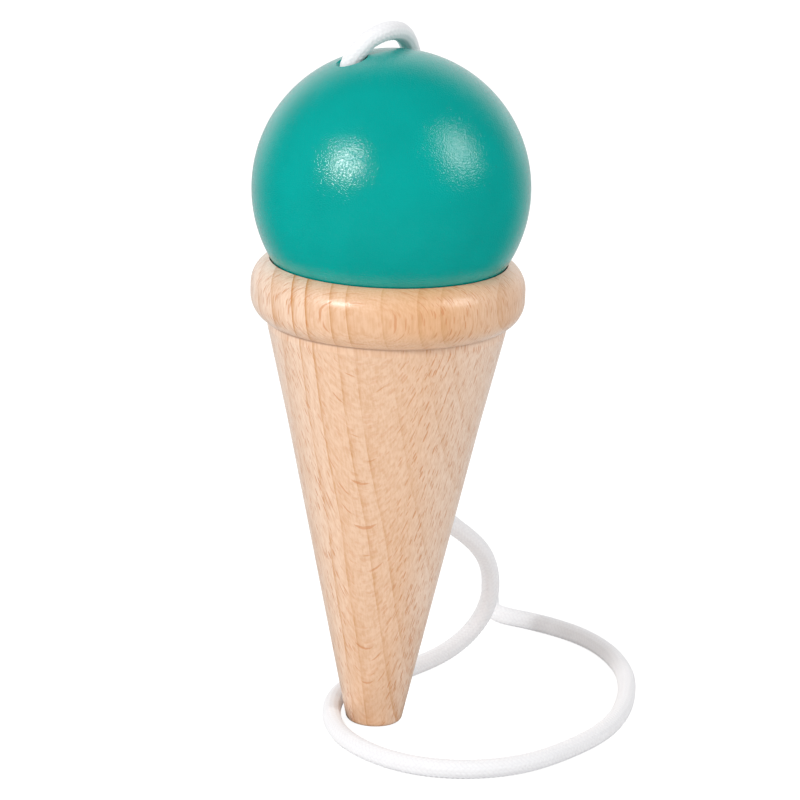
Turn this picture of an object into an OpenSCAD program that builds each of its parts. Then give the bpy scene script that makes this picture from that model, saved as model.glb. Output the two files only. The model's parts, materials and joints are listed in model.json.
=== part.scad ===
// Cup and ball toy: a turned wooden cone with a cup in its mouth, a painted ball and a cord.
// Millimetres. The cone stands on its tip at the origin, and its axis is +Z.

/* [Ball] */
// Diameter of the ball
ball_d = 50; // [47:0.5:56]
// Gap between the ball and the lip that it rests on
ball_gap = 0.2; // [0.1:0.05:0.5]
// Diameter of the cord's bore through the ball
ball_bore_d = 5; // [4.6:0.1:7]
// How far that bore's upper edge is eased, so that it doesn't cut the cord
bore_ease = 0.5; // [0.4:0.1:1]
// Diameter of the knot's pocket at the lower end of that bore
ball_pocket_d = 10; // [9.5:0.5:14]
// Depth of that pocket along the bore, from the ball's surface
ball_pocket_h = 9; // [8.5:0.5:14]
// Lean of the bore from upright
hole_tilt = 19; // [5:1:30]
// Turn of that lean about the upright axis
hole_turn = 18; // [0:1:40]

/* [Cone] */
// Diameter of the flat tip, before its edge is rounded
tip_d = 10; // [8:0.5:16]
// Radius of the rounding at the tip's edge
tip_round = 1.2; // [0.5:0.1:2]
// Height at which the side starts to flare
flare_z = 57.5; // [40:0.5:66]
// Diameter there
flare_d = 34.9; // [30:0.1:38]
// Height of the neck under the bead
neck_z = 74.8; // [70:0.1:76]
// How far the neck's side lies inside the bead's
neck_inset = 3.2; // [2.4:0.1:4]

/* [Bead] */
// How far the side of the bead round the mouth lies inside the ball's
bead_inset = 0.3; // [0:0.1:1]
// Height of the bead's middle
bead_z = 81.7; // [80:0.1:86]
// Radius of the bead's rounded edges
bead_round = 5; // [4:0.1:5.5]
// Height of the straight band between those edges
bead_band = 1.8; // [0.6:0.1:3]

/* [Cup] */
// How far the edge of the round hollow lies inside the ball's side
cup_inset = 3.5; // [3:0.1:4.2]
// Diameter of the cord's bore out of the back of the cone
cone_bore_d = 4.6; // [4.2:0.1:6]
// Slope of that bore below level
bore_slope = 50; // [40:1:60]
// Diameter of the knot's pocket in the floor of the cup
cone_pocket_d = 10; // [9.5:0.5:13]
// Depth of that pocket along the bore, from the floor of the cup
cone_pocket_h = 9.5; // [8.5:0.5:12]

/* [Cord] */
// Diameter of the braided cord
cord_d = 3.5; // [3:0.1:4]
// Diameter of each stopper knot
knot_d = 8.6; // [7:0.1:9]
// Length of each stopper knot along the cord
knot_h = 7; // [6:0.1:8]
// Length of the free cord's end that lies inside each bore
cord_tuck = 3; // [2:0.5:5]
// Gap between stretches of the cord that move apart
cord_gap = 0.3; // [0.2:0.05:0.6]

/* [Hidden] */

$fn = 96;
WOOD = "#E6C09A";
PAINT = "#00A593";
CORD = "#F4F2EE";
// Sides of the cord's skin
FACETS = 8;
// How far a cut runs past the surface
OVER = 1;

// Cone and cup, made to fit the ball
ball_r = ball_d / 2;
cup_r = ball_r - cup_inset;
bead_r = ball_r - bead_inset;
neck_r = bead_r - neck_inset;
bead_in_r = bead_r - bead_round;
bead_top_z = bead_z + bead_band / 2;
bead_low_z = bead_z - bead_band / 2;
lip_z = bead_top_z + sqrt(pow(bead_round, 2) - pow(cup_r - bead_in_r, 2));
cup_floor_z = lip_z - cup_r;
side_slope = (flare_d - tip_d) / 2 / flare_z;
side_length = sqrt(1 + pow(side_slope, 2));
tip_flat_r = tip_d / 2 + tip_round * (side_slope - side_length);

// Bore out of the back of the cone, from the middle of the cup's floor
bore_dir = [0, cos(bore_slope), -sin(bore_slope)];
bore_start = [0, 0, cup_floor_z];
bore_to_side = (tip_d / 2 + side_slope * cup_floor_z) / (cos(bore_slope) + side_slope * sin(bore_slope));
bore_exit = bore_start + bore_to_side * bore_dir;

// Ball and its bore
ball_z = lip_z + sqrt(pow(ball_r + ball_gap, 2) - pow(cup_r, 2));
ball_centre = [0, 0, ball_z];
mouth_z = sqrt(pow(ball_r, 2) - pow(ball_bore_d / 2 + bore_ease, 2));
hole_dir = [-sin(hole_tilt) * cos(hole_turn), -sin(hole_tilt) * sin(hole_turn), cos(hole_tilt)];

// Cord
cord_r = cord_d / 2;
// Rounding of a knot's edges
knot_edge = 1.6;

// Route of the stretch that leaves the cone's back, lies round the tip and runs to the far side
loop_route = concat(
  [bore_exit - cord_tuck * bore_dir, bore_exit + cord_tuck * bore_dir],
  [
    [1, 21.6, 39], [3, 25.2, 35.8], [6, 28.4, 33], [11, 32.2, 29.4], [17.4, 37, 23.8],
    [20, 39.4, 20.2], [21.4, 41.2, 16], [21.6, 41.8, 11.6], [20.4, 41.4, 7.4], [18.2, 40, 4.2],
    [15.6, 37, cord_r + 0.4], [9.8, 28.8, cord_r], [3, 20.6, cord_r], [-1, 17, cord_r],
    [-4.8, 12.4, cord_r], [-7, 6.4, cord_r], [-7.8, -0.6, cord_r], [-7.2, -8.4, cord_r],
    [-4.6, -16.6, cord_r], [0.4, -23.6, cord_r], [6.6, -28.2, cord_r], [13.6, -30, cord_r],
    [21, -29, cord_r], [28.4, -25, cord_r], [34.6, -18.6, cord_r], [39.8, -11.4, cord_r],
    [43.6, -3.6, cord_r], [46, 5, cord_r], [47.2, 14, cord_r], [47.4, 23.4, cord_r],
    [46.2, 32, cord_r], [43.6, 40, cord_r], [39.4, 47, cord_r], [33.8, 52.6, cord_r],
    [27.6, 56.6, cord_r], [24.2, 59, cord_r], [22.6, 62.2, cord_r], [22.4, 66, cord_r]
  ]
);

// Route of the stretch that rises from there, goes over the back of the ball and enters its bore
hang_route = concat(
  [
    [22.4, 66 + cord_gap, cord_r], [22.4, 70, cord_r], [22.4, 75, cord_r + 0.8], [21.6, 79.6, 4.2],
    [19.4, 83.6, 6.6], [16.4, 85.8, 9.8], [12.8, 85, 13.4], [9.6, 81, 17.4], [7.2, 74.6, 22.2],
    [5.6, 67, 28], [4.6, 59, 35.2], [4.2, 51.4, 44], [4, 44.6, 54.4], [3.8, 39, 65.6],
    [3.6, 34.8, 77.2], [3.5, 31.8, 88.8], [3.5, 30, 98], [3.6, 28.2, 106], [3.7, 24.6, 113],
    [3.6, 20, 118.6], [3.1, 15.2, 122.8], [2.3, 10.8, 125.6], [1.2, 6.8, 127.4], [-0.3, 3.5, 128.3],
    [-2, 1, 128.6], [-3.8, -0.7, 128.2], [-5.4, -1.7, 127.2], [-6.6, -2.2, 125.8], [-7.15, -2.35, 124]
  ],
  [for (deep = [0.75, 1]) ball_centre + (ball_r - deep * cord_tuck) * hole_dir]
);

function unit(v) = v / norm(v);

// Direction of a route at one of its points
function along(route, i) = unit(route[min(i + 1, len(route) - 1)] - route[max(i - 1, 0)]);

// The part of v that is square to the direction t
function square_to(v, t) = unit(v - (v * t) * t);

// A side direction for each point of a route, carried on from the one before
function side_dirs(route, side = [1, 0, 0], i = 0) =
  i == len(route) ? [] :
  let (next = square_to(side, along(route, i)))
  concat([next], side_dirs(route, next, i + 1));

// One ring of the cord's skin
function ring(centre, dir, side) =
  [for (k = [0 : FACETS - 1])
    let (turn = 360 * k / FACETS)
    centre + cord_r * (cos(turn) * side + sin(turn) * cross(dir, side))];

// A round tube along a route, closed at both ends
module cord_tube(route) {
  rings = len(route);
  sides = side_dirs(route);
  skin = [for (i = [0 : rings - 1]) each ring(route[i], along(route, i), sides[i])];
  walls = [for (i = [0 : rings - 2], k = [0 : FACETS - 1])
    let (a = i * FACETS + k, b = i * FACETS + (k + 1) % FACETS)
    each [[a, a + FACETS, b], [b, a + FACETS, b + FACETS]]];
  first_cap = [for (k = [1 : FACETS - 2]) [0, k, k + 1]];
  last = (rings - 1) * FACETS;
  last_cap = [for (k = [1 : FACETS - 2]) [last, last + k + 1, last + k]];
  polyhedron(points = skin, faces = concat(walls, first_cap, last_cap));
}

// Places a piece with its own +Z along the cone's bore, from the floor of the cup outwards
module on_cone_bore() {
  translate(bore_start) rotate([-90 - bore_slope, 0, 0]) children();
}

// Places a piece with its own +Z along the ball's bore, from the ball's centre to the upper mouth
module on_ball_bore() {
  translate(ball_centre) rotate([0, -hole_tilt, hole_turn]) children();
}

// Outline of half the cone, from its axis to its side
module cone_profile() {
  round_z = tip_round * (1 - side_slope / side_length);
  polygon([
    [0, 0],
    [tip_flat_r, 0],
    [tip_flat_r, tip_round],
    [tip_d / 2 + side_slope * round_z, round_z],
    [flare_d / 2, flare_z],
    [neck_r, neck_z],
    [neck_r, bead_z],
    [0, bead_z]
  ]);
  translate([tip_flat_r, tip_round]) circle(r = tip_round);
  translate([bead_in_r, bead_low_z]) circle(r = bead_round);
  translate([bead_in_r, bead_top_z]) circle(r = bead_round);
  translate([0, bead_low_z]) square([bead_r, bead_band]);
  translate([0, bead_low_z]) square([bead_in_r, bead_band + bead_round]);
}

// Turned cone with its cup, the knot's pocket and the cord's bore
module cone() {
  color(WOOD)
  difference() {
    rotate_extrude() cone_profile();
    translate([0, 0, lip_z]) sphere(r = cup_r);
    on_cone_bore() {
      cylinder(d = cone_bore_d, h = bore_to_side + cone_bore_d);
      translate([0, 0, -cone_pocket_d]) cylinder(d = cone_pocket_d, h = cone_pocket_d + cone_pocket_h);
    }
  }
}

// Painted ball with its bore and the knot's pocket
module ball() {
  color(PAINT)
  difference() {
    translate(ball_centre) sphere(r = ball_r);
    on_ball_bore() {
      translate([0, 0, -ball_r - OVER]) cylinder(d = ball_bore_d, h = ball_d + 2 * OVER);
      translate([0, 0, mouth_z - bore_ease])
        cylinder(d1 = ball_bore_d, d2 = ball_bore_d + 2 * (bore_ease + OVER), h = bore_ease + OVER);
      translate([0, 0, -ball_r - OVER]) cylinder(d = ball_pocket_d, h = ball_pocket_h + OVER);
    }
  }
}

// Stopper knot as a rounded barrel, which starts at z = 0
module knot() {
  color(CORD)
  rotate_extrude() {
    square([knot_d / 2 - knot_edge, knot_h]);
    translate([0, knot_edge]) square([knot_d / 2, knot_h - 2 * knot_edge]);
    translate([knot_d / 2 - knot_edge, knot_edge]) circle(r = knot_edge);
    translate([knot_d / 2 - knot_edge, knot_h - knot_edge]) circle(r = knot_edge);
  }
}

module ball_knot() {
  on_ball_bore() translate([0, 0, ball_pocket_h - ball_r - knot_h]) knot();
}

module cone_knot() {
  on_cone_bore() translate([0, 0, cone_pocket_h - knot_h]) knot();
}

// Straight stretch inside the ball, from its knot to the free cord
module cord_in_ball() {
  color(CORD)
  on_ball_bore()
    translate([0, 0, ball_pocket_h - ball_r])
    cylinder(d = cord_d, h = ball_d - ball_pocket_h - cord_tuck - cord_gap);
}

// Straight stretch inside the cone, from its knot to the free cord
module cord_in_cone() {
  color(CORD)
  on_cone_bore()
    translate([0, 0, cone_pocket_h])
    cylinder(d = cord_d, h = bore_to_side - cord_tuck - cone_pocket_h);
}

module cord_loop() {
  color(CORD) cord_tube(loop_route);
}

module cord_hang() {
  color(CORD) cord_tube(hang_route);
}

cone();
ball();
cord_hang();
cord_loop();
cord_in_ball();
cord_in_cone();
ball_knot();
cone_knot();
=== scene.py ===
"""Cup and ball toy: a turned beech cup, a painted ball and a braided cord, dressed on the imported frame."""

import json
import math

import bmesh
import bpy
import numpy as np
from bpy.props import FloatProperty, FloatVectorProperty, IntProperty, PointerProperty
from mathutils import Matrix, Vector


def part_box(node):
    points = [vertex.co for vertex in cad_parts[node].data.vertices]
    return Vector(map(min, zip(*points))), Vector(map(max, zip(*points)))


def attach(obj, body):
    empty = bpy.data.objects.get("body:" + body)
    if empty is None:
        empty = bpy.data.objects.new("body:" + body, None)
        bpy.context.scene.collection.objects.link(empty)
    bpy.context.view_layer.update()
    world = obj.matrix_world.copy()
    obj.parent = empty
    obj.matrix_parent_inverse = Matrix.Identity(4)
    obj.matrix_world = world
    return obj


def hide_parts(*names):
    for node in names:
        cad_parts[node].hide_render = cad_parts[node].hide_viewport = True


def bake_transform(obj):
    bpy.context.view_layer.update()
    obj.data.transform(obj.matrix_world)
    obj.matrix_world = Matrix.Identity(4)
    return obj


bl_info = {
    "name": "Cup and Ball Toy",
    "version": (1, 0, 0),
    "blender": (4, 5, 0),
    "location": "3D View > Sidebar > Toy",
    "description": "Dresses a turned beech cup, a painted ball and their braided cord",
    "category": "Object",
}

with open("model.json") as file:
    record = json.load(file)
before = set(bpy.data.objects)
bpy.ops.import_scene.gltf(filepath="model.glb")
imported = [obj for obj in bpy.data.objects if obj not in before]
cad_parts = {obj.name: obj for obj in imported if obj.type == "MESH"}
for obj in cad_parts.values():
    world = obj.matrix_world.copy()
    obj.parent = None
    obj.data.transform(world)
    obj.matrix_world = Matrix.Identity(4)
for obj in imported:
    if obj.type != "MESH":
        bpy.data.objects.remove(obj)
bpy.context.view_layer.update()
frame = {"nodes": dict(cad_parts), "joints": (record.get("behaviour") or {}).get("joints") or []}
MM = 0.001

# Ball and its drilled hole, from the joint that it turns on, in millimetres
SPIN = next(joint for joint in frame["joints"] if joint["name"] == "ball_spin")
BALL_CENTRE = Vector([part / MM for part in SPIN["pos_m"]])
HOLE_DIR = Vector(SPIN["axis"])
BALL_LOW, BALL_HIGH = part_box("ball")
BALL_R = round((BALL_HIGH[2] - BALL_LOW[2]) / 2 / MM, 3)
# How far up the hole the ball's own cord reaches from the ball's middle, and the depth of the knot's pocket
BALL_CORD_END = 21.7
BALL_POCKET_DEPTH = 9.0

# Cup's slanted bore, in millimetres: where it leaves the back, and how far that is from the knot's pocket
BORE_SLOPE = math.radians(50)
BORE_DIR = Vector((0, math.cos(BORE_SLOPE), -math.sin(BORE_SLOPE)))
BORE_EXIT = Vector((0, 15.2932, 47.539))
BORE_LENGTH = 14.2921
CUP_POCKET_FLOOR = BORE_EXIT - BORE_DIR * BORE_LENGTH

# Heights on the cup, in millimetres: where the tip's warmth ends, and where the bead's starts and is full
TIP_TOP = 32.0
BEAD_FROM = 76.0
BEAD_FULL = 80.0

# Crease where the bead's underside meets the neck, in millimetres: a thin line of shade is painted along it
CREASE_R = 21.5
CREASE_Z = 76.14

# Cord, in millimetres: its radius, and how far its free end reaches into the bore
CORD_R = 1.75
CORD_TUCK = 3.0

# Route of the cord that lies: from the cup's back, round the tip, to the far side, in millimetres
LOOP_ROUTE = [
    (1, 21.6, 39), (3, 25.2, 35.8), (6, 28.4, 33), (11, 32.2, 29.4), (17.4, 37, 23.8),
    (20, 39.4, 20.2), (21.4, 41.2, 16), (21.6, 41.8, 11.6), (20.4, 41.4, 7.4), (18.4, 40.1, 4.6),
    (15.8, 37.2, 2.8), (9.8, 28.8, CORD_R), (3, 20.6, CORD_R), (-1, 17, CORD_R),
    (-4.8, 12.4, CORD_R), (-7, 6.4, CORD_R), (-7.8, -0.6, CORD_R), (-7.2, -8.4, CORD_R),
    (-4.6, -16.6, CORD_R), (0.4, -23.6, CORD_R), (6.6, -28.2, CORD_R), (13.6, -30, CORD_R),
    (21, -29, CORD_R), (28.4, -25, CORD_R), (34.6, -18.6, CORD_R), (39.8, -11.4, CORD_R),
    (43.6, -3.6, CORD_R), (46, 5, CORD_R), (47.2, 14, CORD_R), (47.4, 23.4, CORD_R),
    (46.2, 32, CORD_R), (43.6, 40, CORD_R), (39.4, 47, CORD_R), (33.8, 52.5, CORD_R),
    (27.7, 56.5, CORD_R), (24.2, 58.9, CORD_R), (22.6, 62.2, CORD_R), (22.4, 66, CORD_R),
]

# Route of the cord that hangs: from there up behind the ball, over its top and slantwise into its hole
HANG_ROUTE = [
    (22.4, 70, CORD_R), (22.4, 75, CORD_R + 0.8), (22.2, 79.6, 4.2),
    (20.7, 83.6, 6.6), (17, 85.8, 9.8), (12.8, 85, 13.4), (9.6, 81, 17.4), (7.2, 74.6, 22.2),
    (5.6, 67, 28), (4.6, 59, 35.2), (4.2, 51.4, 44), (4, 44.6, 54.4), (3.8, 39, 65.6),
    (3.6, 34.8, 77.2), (3.5, 31.8, 88.8), (3.5, 30, 98), (3.6, 28.2, 106), (3.7, 24.6, 113),
    (3.3, 20, 118.6), (2.6, 15.2, 122.8), (1.8, 10.8, 125.5), (0.9, 6.8, 127.3), (-0.3, 3.5, 128.3),
    (-2, 1, 128.5), (-3.79, -0.72, 127.96), (-5.35, -1.72, 126.95), (-6.1, -2.03, 126.06),
    (-6.8, -2.24, 125.27), (-7.41, -2.42, 124.38), (-7.92, -2.47, 123.36), (-8.2, -2.4, 122.21),
    (-8.2, -2.3, 121.47), (-8.1, -2.24, 120.87),
]

# The photograph's frame, and the place in it of the point that the camera looks at, in pixels
IMAGE_SIZE = 800
TARGET_PX = (384.08, 405.835)

# Camera, in metres, and its lean to one side
EYE = Vector((0, -0.770566, 0.275007))
TARGET = Vector((0, 0, 0.06))
CAMERA_LEAN = math.radians(1.911)
SENSOR_MM = 36

# The studio's white walls start where a direction's Y reaches the first value, and are full at the second
WALL_FROM = 0.52
WALL_FULL = 0.9

# Floor's half width and the lamps' aim and distance, in metres
FLOOR_HALF = 1.5
LAMP_AIM = Vector((0, 0, 0.1))
LAMP_DISTANCE = 0.7

# A Mix node has sockets of one name for each type of data, so those of its colours go by number
MIX_SHARE = 0
MIX_UNDER = 6
MIX_OVER = 7
MIX_RESULT = 2


def linear(code):
    """An sRGB hex colour as linear red, green and blue."""
    parts = [int(code[i:i + 2], 16) / 255 for i in (1, 3, 5)]
    return tuple(c / 12.92 if c <= 0.04045 else ((c + 0.055) / 1.055) ** 2.4 for c in parts)


def colour_prop(label, words, code):
    """A colour that a user can change."""
    return FloatVectorProperty(
        name=label, description=words, subtype="COLOR", size=3, min=0, max=1, default=linear(code)
    )


def length_prop(label, words, millimetres):
    """A length that a user can change."""
    return FloatProperty(
        name=label, description=words, subtype="DISTANCE", unit="LENGTH", min=0, default=millimetres * MM
    )


def strength_prop(label, words, strength, unit="NONE"):
    """A strength of light that a user can change."""
    return FloatProperty(name=label, description=words, unit=unit, min=0, default=strength)


class TOY_PG_wood(bpy.types.PropertyGroup):
    """Beech of the cup."""

    pale: colour_prop("Pale wood", "Early wood between the growth rings", "#FBE1CC")
    ring: colour_prop("Growth ring", "Late wood at each ring's edge", "#D39458")
    fleck: colour_prop("Ray fleck", "Short dark marks of the wood's rays", "#D5854A")
    warm: colour_prop("Warm wood", "End grain and redder wood, which drink more lacquer", "#EAB27F")
    # Colour of the painted shade line under the bead, where its underside meets the cone
    crease_shade: colour_prop("Crease", "Lacquer and dust in the crease under the bead", "#B98F77")
    ring_width: length_prop("Ring width", "Usual distance between growth rings", 3.9)


class TOY_PG_paint(bpy.types.PropertyGroup):
    """Paint of the ball."""

    colour: colour_prop("Paint", "Colour of the paint", "#009F97")
    bare: colour_prop("Bare wood", "Colour inside the drilled hole", "#D9B48C")
    peel: length_prop("Peel", "Width of the paint's fine grain", 0.27)


class TOY_PG_cord(bpy.types.PropertyGroup):
    """Braided cord."""

    yarn: colour_prop("Yarn", "Colour of the yarn's raised strands", "#F2F2F4")
    # Colour between the strands: painted shade
    groove_shade: colour_prop("Groove", "Colour between the strands", "#ECEBEE")
    diameter: length_prop("Diameter", "Diameter over the strands", 2 * CORD_R)
    relief: length_prop("Relief", "How far a strand stands out", 0.13)
    lay: length_prop("Lay", "Length in which a strand goes once round", 11.0)
    ring_step: length_prop("Ring step", "Distance between the mesh's rings", 0.22)
    strands: IntProperty(
        name="Strands", description="Strands that run each way round, an even number", min=4, default=12
    )
    sides: IntProperty(name="Sides", description="Sides of the mesh tube", min=24, default=72)


class TOY_PG_stage(bpy.types.PropertyGroup):
    """Floor, light and camera."""

    floor: colour_prop("Floor", "Colour of the floor", "#F4F4F4")
    focal: FloatProperty(
        name="Focal length", description="Lens of the camera, in millimetres", min=1, default=198.89
    )
    wall: strength_prop("Walls", "Light from the white walls behind the toy", 0.95)
    room: strength_prop("Room", "Light from the dim room in front of the toy", 0.03)
    soft: strength_prop("Soft light", "Light from all around that fills the shade", 0.68)
    key: strength_prop("Key", "Power of the small lamp on the left", 2.25, unit="POWER")
    fill: strength_prop("Fill", "Power of the tall lamp on the right", 1.5, unit="POWER")


def add(tree, kind, inputs=(), **settings):
    """Adds a node. Settings are its own values.

    Inputs go by name or number, or as a row in the order of the sockets: a Map Range takes the value,
    then the two ends of the range that it comes from, then those of the range that it goes to.
    An input that is a socket is linked, and any other is set.
    """
    made = tree.nodes.new(kind)
    for name, value in settings.items():
        setattr(made, name, value)
    pairs = inputs.items() if isinstance(inputs, dict) else enumerate(inputs)
    for socket, value in pairs:
        if isinstance(value, bpy.types.NodeSocket):
            tree.links.new(value, made.inputs[socket])
        else:
            made.inputs[socket].default_value = value
    return made


def new_material(name):
    """An empty material and its node tree."""
    made = bpy.data.materials.new(name)
    made.use_nodes = True
    made.node_tree.nodes.clear()
    return made, made.node_tree


def rgba(colour):
    """A colour with nothing see-through."""
    return (*colour, 1.0)


def place_in_mm(tree):
    """A point's place on the object, in millimetres."""
    place = add(tree, "ShaderNodeTexCoord").outputs["Object"]
    return add(tree, "ShaderNodeVectorMath", {0: place, "Scale": 1 / MM}, operation="SCALE").outputs[0]


def lay_over(tree, colour, *layers):
    """Lays colours over one another: each layer is its share, from 0 to 1, and its colour."""
    for share, over in layers:
        parts = {MIX_SHARE: share, MIX_UNDER: colour, MIX_OVER: rgba(over)}
        colour = add(tree, "ShaderNodeMix", parts, data_type="RGBA").outputs[MIX_RESULT]
    return colour


def beech_directions():
    """The wood's three directions: across the growth rings, across the rays and along the grain."""
    turn, lean = math.radians(12.5), math.radians(7)
    level = Vector((math.cos(turn), -math.sin(turn), 0))
    rings = level * math.cos(lean) + Vector((0, 0, math.sin(lean)))
    rays = Vector((-math.sin(turn), -math.cos(turn), 0))
    grain = Vector((0, 0, math.cos(lean))) - level * math.sin(lean)
    return rings, rays, grain


def beech_warmth(tree, high, side, bead):
    """Warmth of the wood: tip and bead show more end grain, and redder wood runs down the middle."""
    tip = add(
        tree, "ShaderNodeMapRange", (high, 0.0, TIP_TOP, 0.08, 0.0), interpolation_type="SMOOTHSTEP"
    ).outputs[0]
    redder = add(tree, "ShaderNodeMapRange", (side, -0.6, 0.5, 0.0, 0.65)).outputs[0]
    warm = add(tree, "ShaderNodeMath", (bead, redder, tip), operation="MULTIPLY_ADD").outputs[0]
    heart = add(tree, "ShaderNodeMath", (side, 0.05), operation="ADD").outputs[0]
    heart = add(tree, "ShaderNodeMath", (heart,), operation="ABSOLUTE").outputs[0]
    heart = add(tree, "ShaderNodeMapRange", (heart, 0.4, 0.85, 0.47, 0.0)).outputs[0]
    return add(tree, "ShaderNodeMath", (warm, heart), operation="ADD").outputs[0]


def beech_rings(tree, place, across, side, bead, ring_width):
    """Late wood of the growth rings: a thin line at each ring's edge, and a shade that fades from it."""
    # A slow wander bends the sheets, which lie closer together on the left than on the right
    wander = add(tree, "ShaderNodeTexNoise", {"Vector": place, "Scale": 1 / 30, "Detail": 1.0}).outputs["Fac"]
    bent = add(tree, "ShaderNodeMath", (wander, 2.4, across), operation="MULTIPLY_ADD").outputs[0]
    rate = add(
        tree, "ShaderNodeMath", (bent, -0.0016, MM / ring_width), operation="MULTIPLY_ADD"
    ).outputs[0]
    # Good and bad years make rings wider and narrower
    years = add(
        tree, "ShaderNodeTexNoise", {"W": bent, "Scale": 1 / 6, "Detail": 0.0}, noise_dimensions="1D"
    ).outputs["Fac"]
    count = add(tree, "ShaderNodeMath", (bent, rate, years), operation="MULTIPLY_ADD").outputs[0]
    phase = add(tree, "ShaderNodeMath", (count,), operation="FRACT").outputs[0]
    line = add(tree, "ShaderNodeMapRange", (phase, 0.0, 0.15, 0.6, 0.0)).outputs[0]
    shade = add(
        tree, "ShaderNodeMapRange", (phase, 0.0, 0.6, 0.5, 0.0), interpolation_type="SMOOTHSTEP"
    ).outputs[0]
    late = add(tree, "ShaderNodeMath", (line, shade), operation="ADD").outputs[0]

    # Rings are patchy, stronger on the bead and fainter to the right
    patchy = add(tree, "ShaderNodeTexNoise", {"Vector": place, "Scale": 1 / 9, "Detail": 2.0}).outputs["Fac"]
    patchy = add(tree, "ShaderNodeMapRange", (patchy, 0.3, 0.65, 0.2, 0.6)).outputs[0]
    patchy = add(tree, "ShaderNodeMath", (bead, 0.6, patchy), operation="MULTIPLY_ADD").outputs[0]
    fade = add(tree, "ShaderNodeMapRange", (across, 3.0, 13.0, 1.0, 0.4)).outputs[0]
    patchy = add(tree, "ShaderNodeMath", (patchy, fade), operation="MULTIPLY").outputs[0]
    # At the sides the surface runs along the sheets, so rings are broad and faint there
    edge = add(tree, "ShaderNodeMath", (side,), operation="ABSOLUTE").outputs[0]
    edge = add(tree, "ShaderNodeMapRange", (edge, 0.7, 1.0, 1.0, 0.3)).outputs[0]
    for strength in (patchy, edge):
        late = add(tree, "ShaderNodeMath", (late, strength), operation="MULTIPLY").outputs[0]
    return late


def beech_flecks(tree, sheets, facing):
    """Rays: lens-shaped sheets, one in each cell, many small ones and a few long ones."""
    flecks = []
    # A cell's size in millimetres, the chance value up to which its ray is smallest,
    # the largest ray's radius in cells, and its darkness
    for cell, few, largest, dark in (
        ((2.4, 0.24, 2.4), 0.15, 0.54, 0.65),
        ((6.0, 0.19, 6.0), 0.5, 0.5, 0.55),
    ):
        rate = [1 / width for width in cell]
        cells = add(tree, "ShaderNodeVectorMath", (sheets, rate), operation="MULTIPLY").outputs[0]
        rays = add(tree, "ShaderNodeTexVoronoi", {"Vector": cells, "Scale": 1.0}).outputs
        size = add(tree, "ShaderNodeMapRange", (rays["Color"], few, 1.0, 0.1, largest)).outputs[0]
        depth = add(tree, "ShaderNodeMath", (size, rays["Distance"]), operation="SUBTRACT").outputs[0]
        flecks.append(add(
            tree, "ShaderNodeMapRange", (depth, 0.0, 0.14, 0.0, dark), interpolation_type="SMOOTHSTEP"
        ).outputs[0])
    small, long = flecks
    # Seen flat on, in the middle of the front and back, a small ray is a faint flake
    flake = add(tree, "ShaderNodeMapRange", (facing, 0.82, 0.98, 1.0, 0.25)).outputs[0]
    small = add(tree, "ShaderNodeMath", (small, flake), operation="MULTIPLY").outputs[0]
    return add(tree, "ShaderNodeMath", (small, long), operation="MAXIMUM").outputs[0]


def beech_crease_shade(tree, across, high, wide):
    """Painted shade: a thin dark line where the bead's underside meets the cone, fainter to the right."""
    outside = add(tree, "ShaderNodeMath", (wide, CREASE_R - 1), operation="GREATER_THAN").outputs[0]
    off = add(tree, "ShaderNodeMath", (high, CREASE_Z), operation="SUBTRACT").outputs[0]
    off = add(tree, "ShaderNodeMath", (off,), operation="ABSOLUTE").outputs[0]
    crease_shade = add(
        tree, "ShaderNodeMapRange", (off, 0.05, 0.4, 0.7, 0.0), interpolation_type="SMOOTHSTEP"
    ).outputs[0]
    # The painted shade line fades towards the right
    right_fade = add(tree, "ShaderNodeMapRange", (across, 0.0, 18.0, 1.0, 0.35)).outputs[0]
    for share in (outside, right_fade):
        crease_shade = add(tree, "ShaderNodeMath", (crease_shade, share), operation="MULTIPLY").outputs[0]
    return crease_shade


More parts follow.
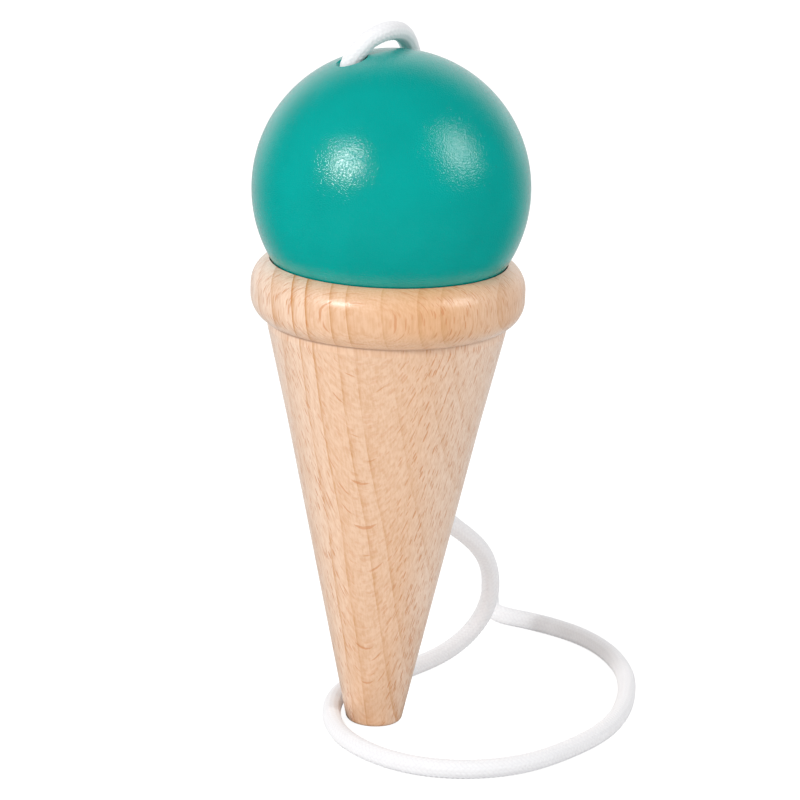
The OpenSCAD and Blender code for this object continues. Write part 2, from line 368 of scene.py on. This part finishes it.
def beech_material(wood):
    """Lacquered beech, turned on a lathe.

    Growth rings are near-flat sheets across the blank, so the front shows them as upright lines.
    The wood's rays are thin sheets square to the rings, so they show as level flakes in the
    middle of the front, and as short slanted dashes towards the sides.
    """
    made, tree = new_material("Beech")
    place = place_in_mm(tree)
    rings, rays, grain = (
        add(tree, "ShaderNodeVectorMath", (place, way), operation="DOT_PRODUCT").outputs["Value"]
        for way in beech_directions()
    )
    sheets = add(tree, "ShaderNodeCombineXYZ", (rings, rays, grain)).outputs[0]

    # Where a point is: its height, its distance from the axis, how far to the side, how flat on to the rays
    where = add(tree, "ShaderNodeSeparateXYZ", (place,)).outputs
    high = where["Z"]
    level = add(tree, "ShaderNodeVectorMath", (place, (1, 1, 0)), operation="MULTIPLY").outputs[0]
    wide = add(tree, "ShaderNodeVectorMath", (level,), operation="LENGTH").outputs["Value"]
    side = add(tree, "ShaderNodeMath", (where["X"], wide), operation="DIVIDE").outputs[0]
    facing = add(tree, "ShaderNodeMath", (rays, wide), operation="DIVIDE").outputs[0]
    facing = add(tree, "ShaderNodeMath", (facing,), operation="ABSOLUTE").outputs[0]
    bead = add(
        tree, "ShaderNodeMapRange", (high, BEAD_FROM, BEAD_FULL, 0.0, 0.7), interpolation_type="SMOOTHSTEP"
    ).outputs[0]

    # Fibres are fine streaks along the grain, about 0.3 mm wide, and pores are short fine strokes in the
    # planes of the rays, about 0.2 mm wide. Their sizes are given in marks to the millimetre.
    marks = []
    for rate, detail in (((3.2, 3.2, 0.22), 3.0), ((0.8, 5.0, 0.55), 2.0)):
        spot = add(tree, "ShaderNodeVectorMath", (sheets, rate), operation="MULTIPLY").outputs[0]
        marks.append(add(
            tree, "ShaderNodeTexNoise", {"Vector": spot, "Scale": 1.0, "Detail": detail}
        ).outputs["Fac"])
    fibres, pores = marks
    tone = add(tree, "ShaderNodeMath", (fibres, pores), operation="ADD").outputs[0]
    tone = add(tree, "ShaderNodeMapRange", (tone, 0.75, 1.2, 0.36, 0.0)).outputs[0]

    warm = beech_warmth(tree, high, side, bead)
    late = beech_rings(tree, place, rings, side, bead, wood.ring_width)
    late = add(tree, "ShaderNodeMath", (late, tone), operation="ADD").outputs[0]
    fleck = beech_flecks(tree, sheets, facing)
    # A painted shade line under the bead is laid over the wood's colour
    crease_shade = beech_crease_shade(tree, rings, high, wide)
    layers = (warm, wood.warm), (late, wood.ring), (fleck, wood.fleck), (crease_shade, wood.crease_shade)
    colour = lay_over(tree, rgba(wood.pale), *layers)

    relief = add(tree, "ShaderNodeMath", (fleck, -0.6, fibres), operation="MULTIPLY_ADD").outputs[0]
    bump = add(tree, "ShaderNodeBump", {"Strength": 0.8, "Distance": 0.07 * MM, "Height": relief}).outputs[0]
    body = add(tree, "ShaderNodeBsdfPrincipled", {
        "Base Color": colour, "Normal": bump, "Coat Normal": bump, "Roughness": 0.45, "IOR": 1.5,
        "Coat Weight": 0.9, "Coat Roughness": 0.26, "Coat IOR": 1.5,
    })
    add(tree, "ShaderNodeOutputMaterial", {"Surface": body.outputs[0]})
    return made


def paint_material(paint):
    """Sprayed satin paint on a turned wooden ball: a fine orange peel breaks up the lamps' reflections.

    The spray also coats the first few millimetres of the drilled holes, and deeper down is bare wood.
    """
    made, tree = new_material("Satin paint")
    place = place_in_mm(tree)
    out = add(tree, "ShaderNodeVectorMath", (place, BALL_CENTRE), operation="SUBTRACT").outputs[0]
    out = add(tree, "ShaderNodeVectorMath", (out,), operation="LENGTH").outputs["Value"]
    inside = add(tree, "ShaderNodeMapRange", (out, BALL_R - 4.0, BALL_R - 3.0, 1.0, 0.0)).outputs[0]

    # Clouds: the spray is a little thicker in places, about 11 mm across
    cloud = add(tree, "ShaderNodeTexNoise", {"Vector": place, "Scale": 1 / 11, "Detail": 2.0}).outputs["Fac"]
    tone = add(tree, "ShaderNodeMapRange", (cloud, 0.3, 0.7, 0.95, 1.05)).outputs[0]
    colour = add(
        tree, "ShaderNodeVectorMath", {0: paint.colour[:], "Scale": tone}, operation="SCALE"
    ).outputs[0]

    # Specks: a few pinholes and grains of dust, up to about 0.5 mm across
    dust = add(tree, "ShaderNodeTexVoronoi", {"Vector": place, "Scale": 1 / 7}).outputs
    size = add(tree, "ShaderNodeMapRange", (dust["Color"], 0.5, 1.0, 0.0, 0.04)).outputs[0]
    speck = add(tree, "ShaderNodeMath", (dust["Distance"], size), operation="LESS_THAN").outputs[0]
    dark = [part * 0.45 for part in paint.colour]
    colour = lay_over(tree, colour, (speck, dark), (inside, paint.bare))

    peel = add(
        tree, "ShaderNodeTexNoise", {"Vector": place, "Scale": MM / paint.peel, "Detail": 1.5}
    ).outputs["Fac"]
    height = add(tree, "ShaderNodeMath", (speck, -1.0, peel), operation="MULTIPLY_ADD").outputs[0]
    bump = add(tree, "ShaderNodeBump", {"Strength": 1.0, "Distance": 0.07 * MM, "Height": height}).outputs[0]
    rough = add(tree, "ShaderNodeMapRange", (inside, 0.0, 1.0, 0.13, 0.8)).outputs[0]
    body = add(tree, "ShaderNodeBsdfPrincipled", {
        "Base Color": colour, "Normal": bump, "Roughness": rough, "IOR": 1.5, "Specular IOR Level": 0.6,
    })
    add(tree, "ShaderNodeOutputMaterial", {"Surface": body.outputs[0]})
    return made


def yarn_material(cord):
    """White polyester braid: soft, matt strands with a little sheen, and a painted shade of grey between
    them.
    """
    made, tree = new_material("White braid")
    place = place_in_mm(tree)
    raised = add(tree, "ShaderNodeAttribute", attribute_name="strand").outputs["Fac"]
    # Fuzz: loose fibre ends, drawn at 0.25 mm because real ones are too fine to show
    fuzz = add(tree, "ShaderNodeTexNoise", {"Vector": place, "Scale": 1 / 0.25, "Detail": 2.0}).outputs["Fac"]
    lit = add(tree, "ShaderNodeMath", (fuzz, 0.3, raised), operation="MULTIPLY_ADD").outputs[0]
    lit = add(
        tree, "ShaderNodeMapRange", (lit, 0.2, 0.85, 0.0, 1.0), interpolation_type="SMOOTHSTEP"
    ).outputs[0]
    # Between the raised strands the colour is painted shade
    colour = lay_over(tree, rgba(cord.groove_shade), (lit, cord.yarn))
    bump = add(tree, "ShaderNodeBump", {"Strength": 0.4, "Distance": 0.05 * MM, "Height": fuzz}).outputs[0]
    body = add(tree, "ShaderNodeBsdfPrincipled", {
        "Base Color": colour, "Normal": bump, "Roughness": 0.85, "IOR": 1.5,
        "Specular IOR Level": 0.25, "Sheen Weight": 0.2, "Sheen Roughness": 0.5,
    })
    add(tree, "ShaderNodeOutputMaterial", {"Surface": body.outputs[0]})
    return made


def strand_height(tree, mine, other, start):
    """Height of one family of strands, from 0 to 1: each goes over two of the other, then under two."""
    number = add(tree, "ShaderNodeMath", (mine,), operation="FLOOR").outputs[0]
    across = add(tree, "ShaderNodeMath", (mine, math.pi), operation="MULTIPLY").outputs[0]
    across = add(tree, "ShaderNodeMath", (across,), operation="SINE").outputs[0]
    across = add(tree, "ShaderNodeMath", (across,), operation="ABSOLUTE").outputs[0]
    across = add(tree, "ShaderNodeMath", (across, 0.6), operation="POWER").outputs[0]
    way = add(tree, "ShaderNodeMath", (number, other), operation="ADD").outputs[0]
    way = add(tree, "ShaderNodeMath", (way, start), operation="SUBTRACT").outputs[0]
    way = add(tree, "ShaderNodeMath", (way, 4), operation="FLOORED_MODULO").outputs[0]
    arch = add(tree, "ShaderNodeMath", (way, math.pi / 2), operation="MULTIPLY").outputs[0]
    arch = add(tree, "ShaderNodeMath", (arch,), operation="SINE").outputs[0]
    arch = add(tree, "ShaderNodeMath", (arch, 0.65, 0.35), operation="MULTIPLY_ADD").outputs[0]
    over = add(tree, "ShaderNodeMath", (way, 2), operation="LESS_THAN").outputs[0]
    height = add(tree, "ShaderNodeMath", (across, arch), operation="MULTIPLY").outputs[0]
    return add(tree, "ShaderNodeMath", (height, over), operation="MULTIPLY").outputs[0]


def braid_tree():
    """Geometry Nodes that sweep a tube along a line of edges and raise a two-over, two-under braid on it."""
    tree = bpy.data.node_groups.new("Braided cord", "GeometryNodeTree")
    sockets = (
        ("Line", "NodeSocketGeometry"), ("Radius", "NodeSocketFloat"), ("Relief", "NodeSocketFloat"),
        ("Lay", "NodeSocketFloat"), ("Strands", "NodeSocketFloat"), ("Ring step", "NodeSocketFloat"),
        ("Sides", "NodeSocketInt"), ("Material", "NodeSocketMaterial"),
    )
    for name, kind in sockets:
        tree.interface.new_socket(name, in_out="INPUT", socket_type=kind)
    tree.interface.new_socket("Cord", in_out="OUTPUT", socket_type="NodeSocketGeometry")
    given = add(tree, "NodeGroupInput").outputs
    place = add(tree, "GeometryNodeSplineParameter").outputs

    # Tube: each point keeps its length along the line and its share of the way round
    line = add(tree, "GeometryNodeMeshToCurve", {"Mesh": given["Line"]}).outputs[0]
    line = add(
        tree, "GeometryNodeResampleCurve", {"Curve": line, "Length": given["Ring step"]}, mode="LENGTH"
    ).outputs[0]
    line = add(tree, "GeometryNodeStoreNamedAttribute", {
        "Geometry": line, "Name": "along", "Value": place["Length"],
    }).outputs[0]
    ring = add(tree, "GeometryNodeCurvePrimitiveCircle", {
        "Resolution": given["Sides"], "Radius": given["Radius"],
    }).outputs[0]
    ring = add(tree, "GeometryNodeStoreNamedAttribute", {
        "Geometry": ring, "Name": "around", "Value": place["Factor"],
    }).outputs[0]
    tube = add(
        tree, "GeometryNodeCurveToMesh", {"Curve": line, "Profile Curve": ring, "Fill Caps": True}
    ).outputs[0]

    # Two families of strands wind opposite ways: "left" and "right" count them at a point
    along = add(tree, "GeometryNodeInputNamedAttribute", {"Name": "along"}).outputs[0]
    around = add(tree, "GeometryNodeInputNamedAttribute", {"Name": "around"}).outputs[0]
    turns = add(tree, "ShaderNodeMath", (along, given["Lay"]), operation="DIVIDE").outputs[0]
    left = add(tree, "ShaderNodeMath", (around, turns), operation="ADD").outputs[0]
    left = add(tree, "ShaderNodeMath", (left, given["Strands"]), operation="MULTIPLY").outputs[0]
    right = add(tree, "ShaderNodeMath", (around, turns), operation="SUBTRACT").outputs[0]
    right = add(tree, "ShaderNodeMath", (right, given["Strands"]), operation="MULTIPLY").outputs[0]
    heights = strand_height(tree, left, right, 0), strand_height(tree, right, left, 2)
    height = add(tree, "ShaderNodeMath", heights, operation="MAXIMUM").outputs[0]

    # The strands' height lifts the skin, and stays on it for the yarn's colour and the painted shade between
    # the strands
    tube = add(
        tree, "GeometryNodeStoreNamedAttribute", {"Geometry": tube, "Name": "strand", "Value": height}
    ).outputs[0]
    lift = add(tree, "ShaderNodeMath", (height, given["Relief"]), operation="MULTIPLY").outputs[0]
    normal = add(tree, "GeometryNodeInputNormal").outputs[0]
    lift = add(tree, "ShaderNodeVectorMath", {0: normal, "Scale": lift}, operation="SCALE").outputs[0]
    tube = add(tree, "GeometryNodeSetPosition", {"Geometry": tube, "Offset": lift}).outputs[0]
    for name in ("along", "around"):
        tube = add(tree, "GeometryNodeRemoveAttribute", {"Geometry": tube, "Name": name}).outputs[0]
    tube = add(tree, "GeometryNodeSetShadeSmooth", {"Geometry": tube}).outputs[0]
    tube = add(tree, "GeometryNodeRealizeInstances", {"Geometry": tube}).outputs[0]
    tube = add(tree, "GeometryNodeSetMaterial", {"Geometry": tube, "Material": given["Material"]}).outputs[0]
    add(tree, "NodeGroupOutput", {"Cord": tube})
    return tree


def smooth_route(points, step):
    """Points every step along one smooth curve through the given points: a natural cubic spline."""
    fixed = np.array([tuple(point) for point in points], float)
    gap = np.linalg.norm(np.diff(fixed, axis=0), axis=1)
    reach = np.concatenate([[0], np.cumsum(gap)])
    count = len(fixed)

    # The bend at each point is such that the spans' slopes meet there, and is nothing at both ends
    system, known = np.eye(count), np.zeros((count, 3))
    for i in range(1, count - 1):
        system[i, i - 1:i + 2] = gap[i - 1], 2 * (gap[i - 1] + gap[i]), gap[i]
        known[i] = 6 * ((fixed[i + 1] - fixed[i]) / gap[i] - (fixed[i] - fixed[i - 1]) / gap[i - 1])
    bend = np.linalg.solve(system, known)

    # Many fine points on the curve, each from the two ends of its own span
    fine = np.linspace(0, reach[-1], 20 * count)
    start = np.clip(np.searchsorted(reach, fine, side="right") - 1, 0, count - 2)
    end = start + 1
    done, left, span = (fine - reach[start])[:, None], (reach[end] - fine)[:, None], gap[start][:, None]
    curve = (bend[start] * left ** 3 + bend[end] * done ** 3) / (6 * span)
    curve += (fixed[start] / span - bend[start] * span / 6) * left
    curve += (fixed[end] / span - bend[end] * span / 6) * done

    # Even steps along those
    length = np.concatenate([[0], np.cumsum(np.linalg.norm(np.diff(curve, axis=0), axis=1))])
    even = np.linspace(0, length[-1], int(round(length[-1] / step)) + 1)
    return np.stack([np.interp(even, length, curve[:, axis]) for axis in range(3)], axis=1)


def new_object(name, data):
    """An object in the scene."""
    made = bpy.data.objects.new(name, data)
    bpy.context.scene.collection.objects.link(made)
    return made


def braid(name, route, cord, material, closed=False, diameter=None):
    """A mesh of braided cord along a route in millimetres."""
    edges = [(i, i + 1) for i in range(len(route) - 1)]
    if closed:
        edges.append((len(route) - 1, 0))
    mesh = bpy.data.meshes.new(name)
    mesh.from_pydata([tuple(part * MM for part in point) for point in route], edges, [])
    host = new_object(name + "_line", mesh)
    tree = bpy.data.node_groups.get("Braided cord") or braid_tree()
    radius = (diameter or cord.diameter) / 2
    sizes = {
        "Radius": radius - cord.relief, "Relief": cord.relief, "Lay": cord.lay,
        "Strands": float(cord.strands), "Ring step": cord.ring_step, "Sides": cord.sides,
        "Material": material,
    }
    modifier = host.modifiers.new("Braid", "NODES")
    modifier.node_group = tree
    for item in tree.interface.items_tree:
        if item.item_type == "SOCKET" and item.in_out == "INPUT" and item.name in sizes:
            modifier[item.identifier] = sizes[item.name]
    graph = bpy.context.evaluated_depsgraph_get()
    made = bpy.data.meshes.new_from_object(host.evaluated_get(graph), depsgraph=graph)
    host.modifiers.clear()
    bpy.data.objects.remove(host)
    made.name = name
    return made


def cut_rings(mesh, name, first, last, sides):
    """A copy of a swept tube's rings from first to last, closed at both ends."""
    made = mesh.copy()
    made.name = name
    work = bmesh.new()
    work.from_mesh(made)
    work.verts.ensure_lookup_table()
    drop = [vert for vert in work.verts if not first * sides <= vert.index < (last + 1) * sides]
    bmesh.ops.delete(work, geom=drop, context="VERTS")
    rim = [edge for edge in work.edges if edge.is_boundary]
    bmesh.ops.holes_fill(work, edges=rim, sides=0)
    work.to_mesh(made)
    work.free()
    return made


def join_meshes(name, meshes):
    """One mesh of several, which are used up."""
    work = bmesh.new()
    for mesh in meshes:
        work.from_mesh(mesh)
    made = meshes[0].copy()
    made.name = name
    work.to_mesh(made)
    work.free()
    for mesh in meshes:
        bpy.data.meshes.remove(mesh)
    return made


def knot_meshes(name, cord, yarn, inner, outward, stem_start):
    """An overhand stopper knot, pulled tight, with its cut tail, on the end of a straight cord.

    The knot sits between inner, the pocket's floor, and the pocket's mouth, which is outward.
    """
    side = outward.orthogonal().normalized()
    up = outward.cross(side)
    # In millimetres: the knot's ring, the coil round it, the height of its middle, and its squeezed cord
    ring_r, coil_r, middle = 2.2, 1.08, 3.2
    loop_d, tail_d = 2.5, 2.7
    # How much taller than wide the coil is
    tall = 1.35
    # A tight overhand knot is near a trefoil, which goes twice round its ring while it coils three times
    turns = np.linspace(0, 2 * math.pi, 240, endpoint=False)
    reach = ring_r + coil_r * np.cos(3 * turns)
    loop = [
        inner + side * (far * math.cos(2 * turn)) + up * (far * math.sin(2 * turn))
        + outward * (middle + tall * coil_r * math.sin(3 * turn))
        for turn, far in zip(turns, reach)
    ]
    stem = [stem_start + (inner + outward * middle - stem_start) * share for share in np.linspace(0, 1, 20)]
    bend = [(0.3, 0.2, middle), (0.9, 0.5, middle + 1.4), (1.5, 1.1, middle + 2.6), (1.8, 1.4, middle + 3.9)]
    tail = smooth_route([inner + side * a + up * b + outward * c for a, b, c in bend], cord.ring_step / MM)
    return [
        braid(name + "_loop", loop, cord, yarn, closed=True, diameter=loop_d * MM),
        braid(name + "_stem", stem, cord, yarn),
        braid(name + "_tail", tail, cord, yarn, diameter=tail_d * MM),
    ]


def studio_world(stage):
    """White walls behind the toy, a dim room in front of it, and plain white to the eye.

    The soft light, mostly from the left, only fills shade: the ball's paint doesn't mirror it.
    """
    world = bpy.data.worlds.new("Studio")
    world.use_nodes = True
    tree = world.node_tree
    tree.nodes.clear()
    path = add(tree, "ShaderNodeLightPath").outputs
    way = add(tree, "ShaderNodeTexCoord").outputs["Generated"]
    way = add(tree, "ShaderNodeSeparateXYZ", (way,)).outputs
    level = add(
        tree, "ShaderNodeMapRange", (way["Y"], WALL_FROM, WALL_FULL, stage.room, stage.wall),
        interpolation_type="SMOOTHSTEP",
    ).outputs[0]
    # Matt surfaces get the soft light, and more of the walls' light than glossy ones mirror
    right_soft = 0.62 * stage.soft
    soft = add(tree, "ShaderNodeMapRange", (way["X"], -0.7, 0.7, stage.soft, right_soft)).outputs[0]
    soft = add(tree, "ShaderNodeMath", (level, 0.4, soft), operation="MULTIPLY_ADD").outputs[0]
    level = add(
        tree, "ShaderNodeMath", (path["Is Diffuse Ray"], soft, level), operation="MULTIPLY_ADD"
    ).outputs[0]
    eyed = add(
        tree, "ShaderNodeMath", (path["Is Camera Ray"], path["Is Transmission Ray"]), operation="MAXIMUM"
    ).outputs[0]
    level = add(tree, "ShaderNodeMix", {"Factor": eyed, "A": level, "B": 1.0}).outputs[0]
    sky = add(tree, "ShaderNodeBackground", {"Color": (1, 1, 1, 1), "Strength": level})
    add(tree, "ShaderNodeOutputWorld", {"Surface": sky.outputs[0]})
    return world


def sheet_material(stage):
    """White paper sheet: it keeps a faint shadow, and mirrors as white only where it is behind the toy."""
    made, tree = new_material("White sheet")
    path = add(tree, "ShaderNodeLightPath").outputs
    eyed = add(
        tree, "ShaderNodeMath", (path["Is Camera Ray"], path["Is Transmission Ray"]), operation="MAXIMUM"
    ).outputs[0]
    place = add(tree, "ShaderNodeTexCoord").outputs["Object"]
    back = add(tree, "ShaderNodeVectorMath", (place,), operation="NORMALIZE").outputs[0]
    back = add(tree, "ShaderNodeSeparateXYZ", (back,)).outputs["Y"]
    level = add(tree, "ShaderNodeMapRange", (back, WALL_FROM, WALL_FULL, 0.02, 0.7)).outputs[0]
    paper = add(tree, "ShaderNodeBsdfDiffuse", {"Color": rgba(stage.floor)})
    faint = add(tree, "ShaderNodeBsdfDiffuse", {"Color": (0.25, 0.25, 0.25, 1)})
    glow = add(tree, "ShaderNodeEmission", {"Color": (1, 1, 1, 1), "Strength": 0.92})
    mirror = add(tree, "ShaderNodeEmission", {"Color": (1, 1, 1, 1), "Strength": level})
    bright = add(tree, "ShaderNodeAddShader", (faint.outputs[0], glow.outputs[0]))
    sheet = add(tree, "ShaderNodeMixShader", (eyed, paper.outputs[0], bright.outputs[0]))
    sheet = add(tree, "ShaderNodeMixShader", (path["Is Glossy Ray"], sheet.outputs[0], mirror.outputs[0]))
    add(tree, "ShaderNodeOutputMaterial", {"Surface": sheet.outputs[0]})
    return made


def floor_object(material):
    """A square floor under the toy."""
    half = FLOOR_HALF
    corners = [(-half, -half, 0), (half, -half, 0), (half, half, 0), (-half, half, 0)]
    mesh = bpy.data.meshes.new("floor")
    mesh.from_pydata(corners, [], [(0, 1, 2, 3)])
    mesh.materials.append(material)
    return new_object("floor", mesh)


def add_lamps(stage):
    """A small lamp on the left and a tall, softer one on the right."""
    # Direction from the toy, width and height in metres, and power
    for name, way, wide, tall, power in (
        ("key", (-0.61, -0.644, 0.456), 0.14, 0.14, stage.key),
        ("fill", (0.774, -0.321, 0.543), 0.22, 0.32, stage.fill),
    ):
        light = bpy.data.lights.new(name, "AREA")
        light.shape = "RECTANGLE"
        light.size, light.size_y = wide, tall
        light.energy = power
        lamp = new_object(name, light)
        lamp.location = LAMP_AIM + Vector(way).normalized() * LAMP_DISTANCE
        lamp.rotation_euler = (LAMP_AIM - lamp.location).to_track_quat("-Z", "Y").to_euler()


def add_camera(stage):
    """A camera where the photograph was taken from, with its small lean and framing."""
    ahead = (TARGET - EYE).normalized()
    right = ahead.cross(Vector((0, 0, 1))).normalized()
    up = right.cross(ahead)
    x = right * math.cos(CAMERA_LEAN) + up * math.sin(CAMERA_LEAN)
    y = up * math.cos(CAMERA_LEAN) - right * math.sin(CAMERA_LEAN)
    lens = bpy.data.cameras.new("camera")
    lens.sensor_width, lens.lens = SENSOR_MM, stage.focal
    lens.shift_x = (IMAGE_SIZE / 2 - TARGET_PX[0]) / IMAGE_SIZE
    lens.shift_y = (TARGET_PX[1] - IMAGE_SIZE / 2) / IMAGE_SIZE
    lens.clip_start, lens.clip_end = 0.01, 20
    camera = new_object("camera", lens)
    camera.matrix_world = Matrix.Translation(EYE) @ Matrix((x, y, -ahead)).transposed().to_4x4()
    return camera


class TOY_OT_turned_cup(bpy.types.Operator):
    """Gives the turned cup its beech"""

    bl_idname = "toy.turned_cup"
    bl_label = "Turned Cup"

    def execute(self, context):
        cup = frame["nodes"]["cone"]
        cup.data.materials.clear()
        cup.data.materials.append(beech_material(context.scene.toy_wood))
        return {"FINISHED"}


class TOY_OT_painted_ball(bpy.types.Operator):
    """Gives the ball its paint"""

    bl_idname = "toy.painted_ball"
    bl_label = "Painted Ball"

    def execute(self, context):
        ball = frame["nodes"]["ball"]
        ball.data.materials.clear()
        ball.data.materials.append(paint_material(context.scene.toy_paint))
        return {"FINISHED"}


class TOY_OT_knots(bpy.types.Operator):
    """Ties the stopper knot in the cup's floor and the one under the ball"""

    bl_idname = "toy.knots"
    bl_label = "Stopper Knots"

    def execute(self, context):
        cord = context.scene.toy_cord
        yarn = bpy.data.materials.get("White braid") or yarn_material(cord)
        ball_floor = BALL_CENTRE + HOLE_DIR * (BALL_POCKET_DEPTH - BALL_R)
        ball_end = BALL_CENTRE + HOLE_DIR * BALL_CORD_END
        knots = (
            ("cone_knot_braid", "cone", ("cone_knot",), CUP_POCKET_FLOOR, -BORE_DIR, CUP_POCKET_FLOOR),
            ("ball_knot_braid", "ball", ("ball_knot", "cord_in_ball"), ball_floor, -HOLE_DIR, ball_end),
        )
        for name, body, nodes, inner, outward, start in knots:
            knot = new_object(name, join_meshes(name, knot_meshes(name, cord, yarn, inner, outward, start)))
            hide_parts(*nodes)
            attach(knot, body)
        return {"FINISHED"}


class TOY_OT_free_cord(bpy.types.Operator):
    """Braids the free cord in one run, then parts it where the lying stretch ends"""

    bl_idname = "toy.free_cord"
    bl_label = "Free Cord"

    def execute(self, context):
        cord = context.scene.toy_cord
        yarn = bpy.data.materials.get("White braid") or yarn_material(cord)
        tuck = BORE_DIR * CORD_TUCK
        in_bore = [CUP_POCKET_FLOOR, BORE_EXIT - tuck, BORE_EXIT, BORE_EXIT + tuck]
        route = smooth_route(in_bore + LOOP_ROUTE + HANG_ROUTE, cord.ring_step / MM)
        # The smooth curve may dip between its points, but the cord lies on the floor
        route[:, 2] = np.maximum(route[:, 2], cord.diameter / 2 / MM)
        whole = braid("cord_whole", route, cord, yarn)
        rings = len(whole.vertices) // cord.sides
        parting = np.argmin(np.linalg.norm(route - np.array(LOOP_ROUTE[-1]), axis=1))
        join = int(parting * (rings - 1) / (len(route) - 1))

        loop = new_object("cord_loop_braid", cut_rings(whole, "cord_loop_braid", 0, join, cord.sides))
        hang = new_object("cord_hang_braid", cut_rings(whole, "cord_hang_braid", join, rings - 1, cord.sides))
        bpy.data.meshes.remove(whole)
        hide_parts("cord_loop", "cord_in_cone")
        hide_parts("cord_hang")
        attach(loop, "cone")
        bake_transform(hang)
        return {"FINISHED"}


class TOY_OT_stage(bpy.types.Operator):
    """Sets up the floor, the light and the camera"""

    bl_idname = "toy.stage"
    bl_label = "Stage"

    def execute(self, context):
        scene = context.scene
        stage = scene.toy_stage
        scene.view_settings.view_transform = "Standard"
        scene.world = studio_world(stage)
        floor_object(sheet_material(stage))
        add_lamps(stage)
        scene.camera = add_camera(stage)
        return {"FINISHED"}


GROUPS = {
    "toy_wood": TOY_PG_wood,
    "toy_paint": TOY_PG_paint,
    "toy_cord": TOY_PG_cord,
    "toy_stage": TOY_PG_stage,
}
OPERATORS = (TOY_OT_turned_cup, TOY_OT_painted_ball, TOY_OT_knots, TOY_OT_free_cord, TOY_OT_stage)


class TOY_PT_panel(bpy.types.Panel):
    """Lists the toy's sizes, colours and pieces"""

    bl_idname = "TOY_PT_panel"
    bl_label = "Cup and Ball Toy"
    bl_space_type = "VIEW_3D"
    bl_region_type = "UI"
    bl_category = "Toy"

    def draw(self, context):
        for name, group in GROUPS.items():
            box = self.layout.box()
            for setting in group.__annotations__:
                box.prop(getattr(context.scene, name), setting)
        for operator in OPERATORS:
            self.layout.operator(operator.bl_idname)


def register():
    """Makes the settings, the operators and the panel known."""
    for name, group in GROUPS.items():
        bpy.utils.register_class(group)
        setattr(bpy.types.Scene, name, PointerProperty(type=group))
    for made in (*OPERATORS, TOY_PT_panel):
        bpy.utils.register_class(made)


def unregister():
    """Takes back what register does."""
    for made in (TOY_PT_panel, *OPERATORS):
        bpy.utils.unregister_class(made)
    for name, group in GROUPS.items():
        delattr(bpy.types.Scene, name)
        bpy.utils.unregister_class(group)


def main():
    """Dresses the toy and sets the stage."""
    register()
    bpy.ops.toy.turned_cup()
    bpy.ops.toy.painted_ball()
    bpy.ops.toy.knots()
    bpy.ops.toy.free_cord()
    bpy.ops.toy.stage()


if __name__ == "__main__":
    main()
